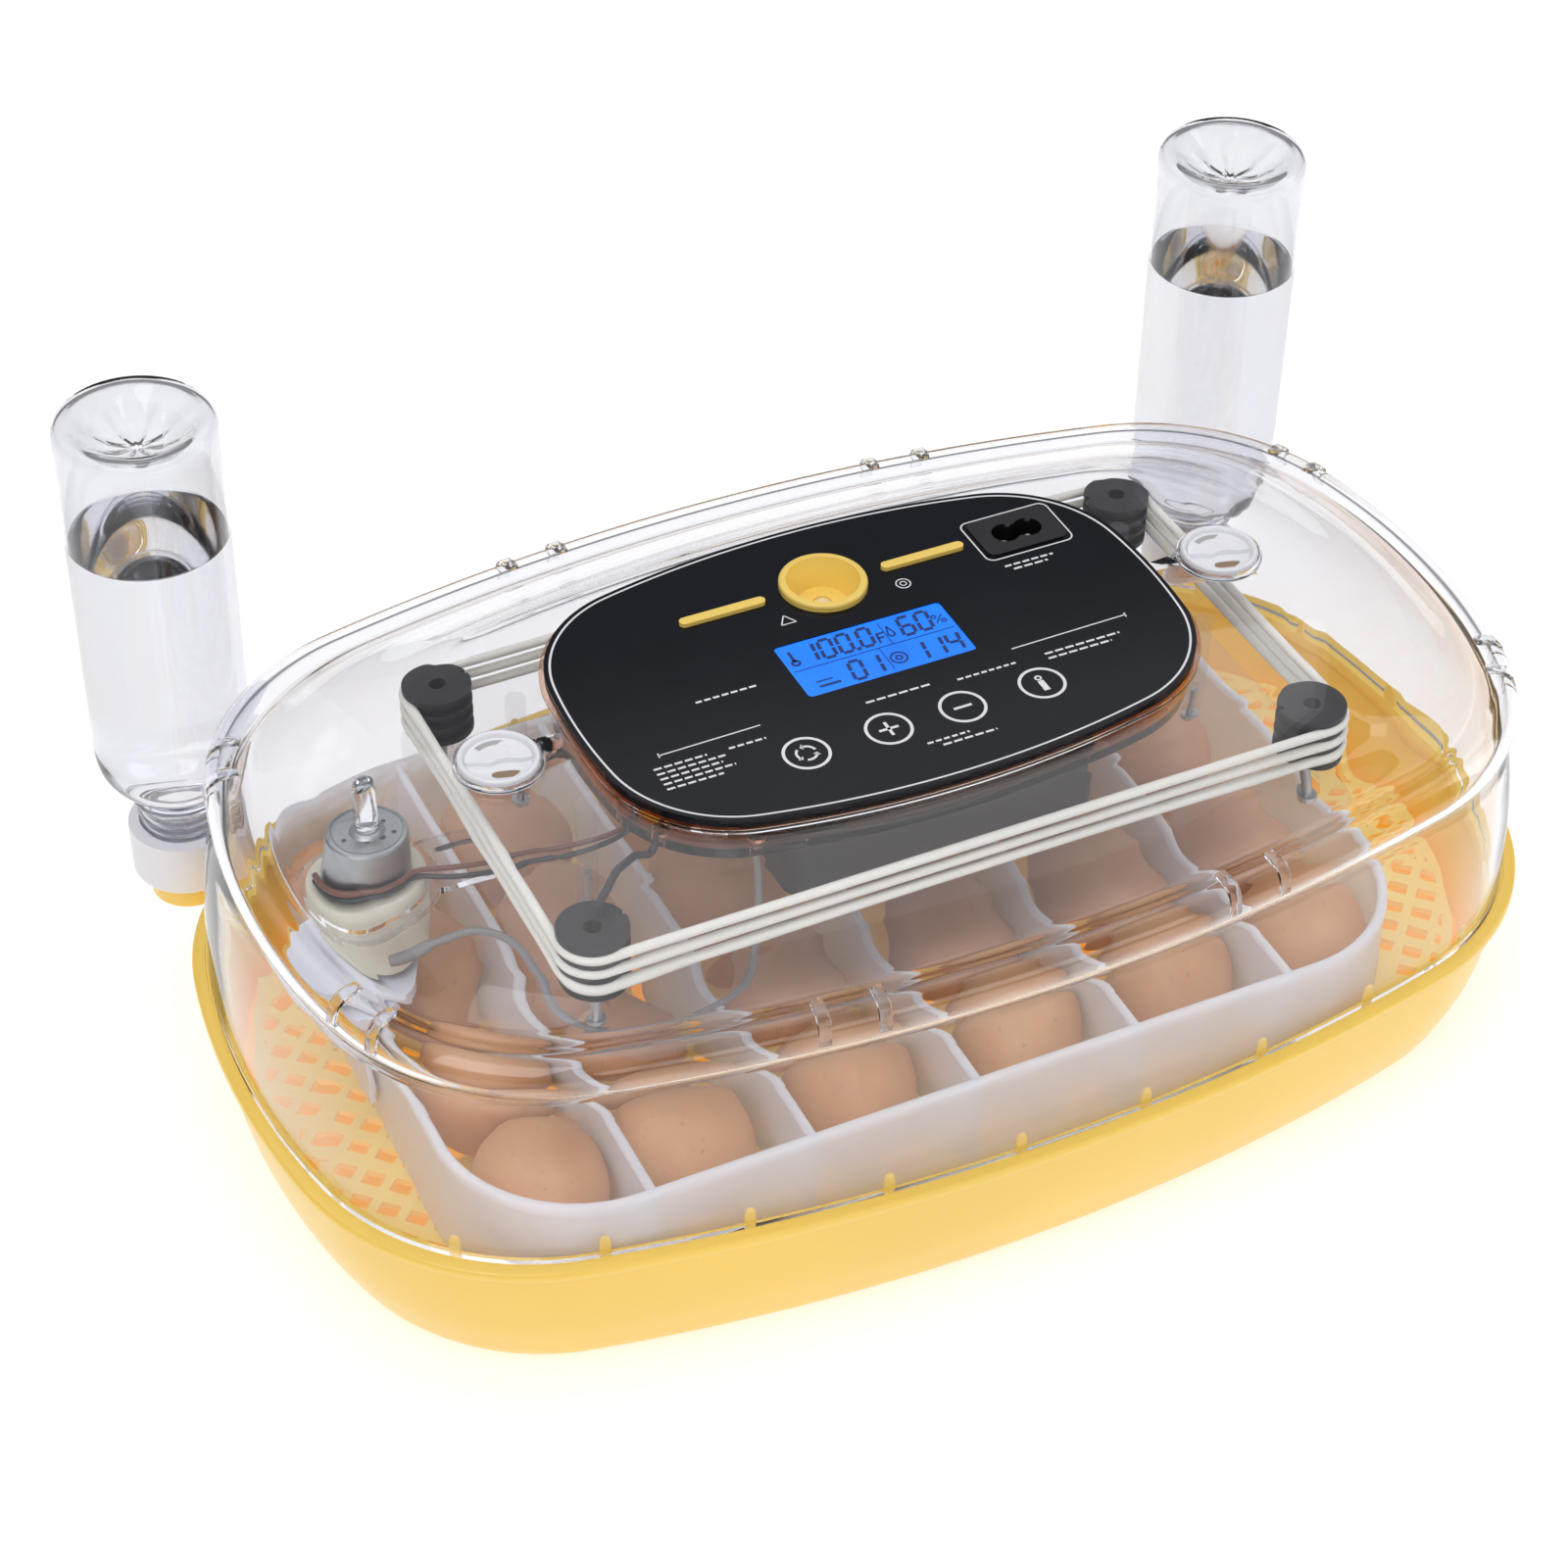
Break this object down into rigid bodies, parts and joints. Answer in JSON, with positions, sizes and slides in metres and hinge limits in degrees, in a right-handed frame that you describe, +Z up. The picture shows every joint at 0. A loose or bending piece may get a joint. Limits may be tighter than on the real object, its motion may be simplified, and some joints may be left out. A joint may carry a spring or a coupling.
{
  "type": "egg incubator",
  "caption": "Tabletop egg incubator: oval yellow water tub, clear lid with heater, fan and control panel, sliding egg tray, side bottles.",
  "frame": {"origin": "middle of the tub's flat underside", "axes": "+X along the long side to the right seen from the front, +Y to the back where the bottles stand, +Z up"},
  "size_m": [0.4276, 0.2701, 0.214],
  "materials": {
    "tub_yellow": "semi-gloss moulded",
    "grille_yellow": "semi-gloss moulded",
    "accent_yellow": "semi-gloss moulded",
    "tray_milky": "milky translucent",
    "turner_white": "satin white",
    "eggshell": "matte brown eggshell",
    "gearbox_cream": "satin cream",
    "steel": "plated",
    "clear_plastic": "clear polished acrylic",
    "bronze_clear": "tinted clear plastic",
    "panel_black": "polished black",
    "lcd_blue": "backlit display",
    "lamp_white": "lamp lens",
    "inlet_black": "glossy black",
    "board_green": "lacquered board",
    "spool_black": "matte charcoal",
    "silicone_wire": "ivory silicone",
    "lead_dark": "flexible insulation",
    "sensor_grey": "grey insulation",
    "fan_grey": "satin dark grey",
    "fan_cream": "satin cream",
    "vent_white": "satin white",
    "bottle_clear": "clear bottle plastic",
    "water": "still water",
    "cap_white": "satin white"
  },
  "bodies": {
    "base": {"base_tub": "tub_yellow", "bottle_socket_left": "tub_yellow", "bottle_socket_right": "tub_yellow", "floor_grille": "grille_yellow"},
    "tray": {"eggs_column_1": "eggshell", "eggs_column_2": "eggshell", "eggs_column_3": "eggshell", "eggs_column_4": "eggshell", "eggs_column_5": "eggshell", "eggs_column_6": "eggshell", "tray_divider_1": "tray_milky", "tray_divider_2": "tray_milky", "tray_divider_3": "tray_milky", "tray_divider_4": "tray_milky", "tray_divider_5": "tray_milky", "tray_frame": "tray_milky", "turning_yoke": "turner_white"},
    "lid": {"accent_bars": "accent_yellow", "candling_cup": "accent_yellow", "candling_lamp": "lamp_white", "circuit_board": "board_green", "control_box": "bronze_clear", "control_glass": "panel_black", "fan_frame": "fan_grey", "fan_screws": "steel", "guard_plate": "clear_plastic", "guard_posts": "clear_plastic", "guard_screws": "steel", "heater_lead": "lead_dark", "heater_spool_back_left": "spool_black", "heater_spool_back_right": "spool_black", "heater_spool_front_left": "spool_black", "heater_spool_front_right": "spool_black", "heating_wires": "silicone_wire", "inlet_pins": "steel", "lcd_module": "lcd_blue", "lid_shell": "clear_plastic", "motor_bracket": "clear_plastic", "motor_can": "steel", "motor_gearbox": "gearbox_cream", "motor_leads": "lead_dark", "panel_gasket": "bronze_clear", "power_inlet": "inlet_black", "rim_clips": "clear_plastic", "sensor_cable": "sensor_grey", "sensor_probe": "steel", "vent_seat_left": "clear_plastic", "vent_seat_right": "clear_plastic"},
    "crank": {"crank_disc": "turner_white", "crank_pin": "steel", "motor_shaft": "steel"},
    "fan": {"fan_rotor": "fan_cream"},
    "vent_cap_left": {"vent_cap_left": "vent_white"},
    "vent_cap_right": {"vent_cap_right": "vent_white"},
    "bottle_left": {"bottle_left": "bottle_clear", "bottle_water_left": "water", "bottle_cap_left": "cap_white"},
    "bottle_right": {"bottle_right": "bottle_clear", "bottle_water_right": "water", "bottle_cap_right": "cap_white"}
  },
  "joints": [
    {"name": "lid_lift", "type": "slide", "parent": "base", "child": "lid", "axis": [0, 0, 1], "range_m": [0, 0.12]},
    {"name": "tray_slide", "type": "slide", "parent": "base", "child": "tray", "axis": [1, 0, 0], "range_m": [0, 0.0225]},
    {"name": "crank_turn", "type": "hinge", "parent": "lid", "child": "crank", "pos_m": [-0.159, 0.017, 0.075], "axis": [0, 0, 1], "range_deg": [0, 120]},
    {"name": "fan_spin", "type": "hinge", "parent": "lid", "child": "fan", "pos_m": [0, 0.0028, 0.115], "axis": [0, 0, 1], "continuous": true},
    {"name": "vent_turn_left", "type": "hinge", "parent": "lid", "child": "vent_cap_left", "pos_m": [-0.1224, 0.0025, 0.144], "axis": [0, 0, 1], "range_deg": [0, 90]},
    {"name": "vent_turn_right", "type": "hinge", "parent": "lid", "child": "vent_cap_right", "pos_m": [0.1224, 0.0025, 0.144], "axis": [0, 0, 1], "range_deg": [0, 90]},
    {"name": "bottle_lift_left", "type": "slide", "parent": "base", "child": "bottle_left", "axis": [0, 0, 1], "range_m": [0, 0.05]},
    {"name": "bottle_lift_right", "type": "slide", "parent": "base", "child": "bottle_right", "axis": [0, 0, 1], "range_m": [0, 0.05]}
  ],
  "couplings": [
    {"joint": "crank_turn", "follows": "tray_slide", "rad_per_m": 93.015}
  ]
}
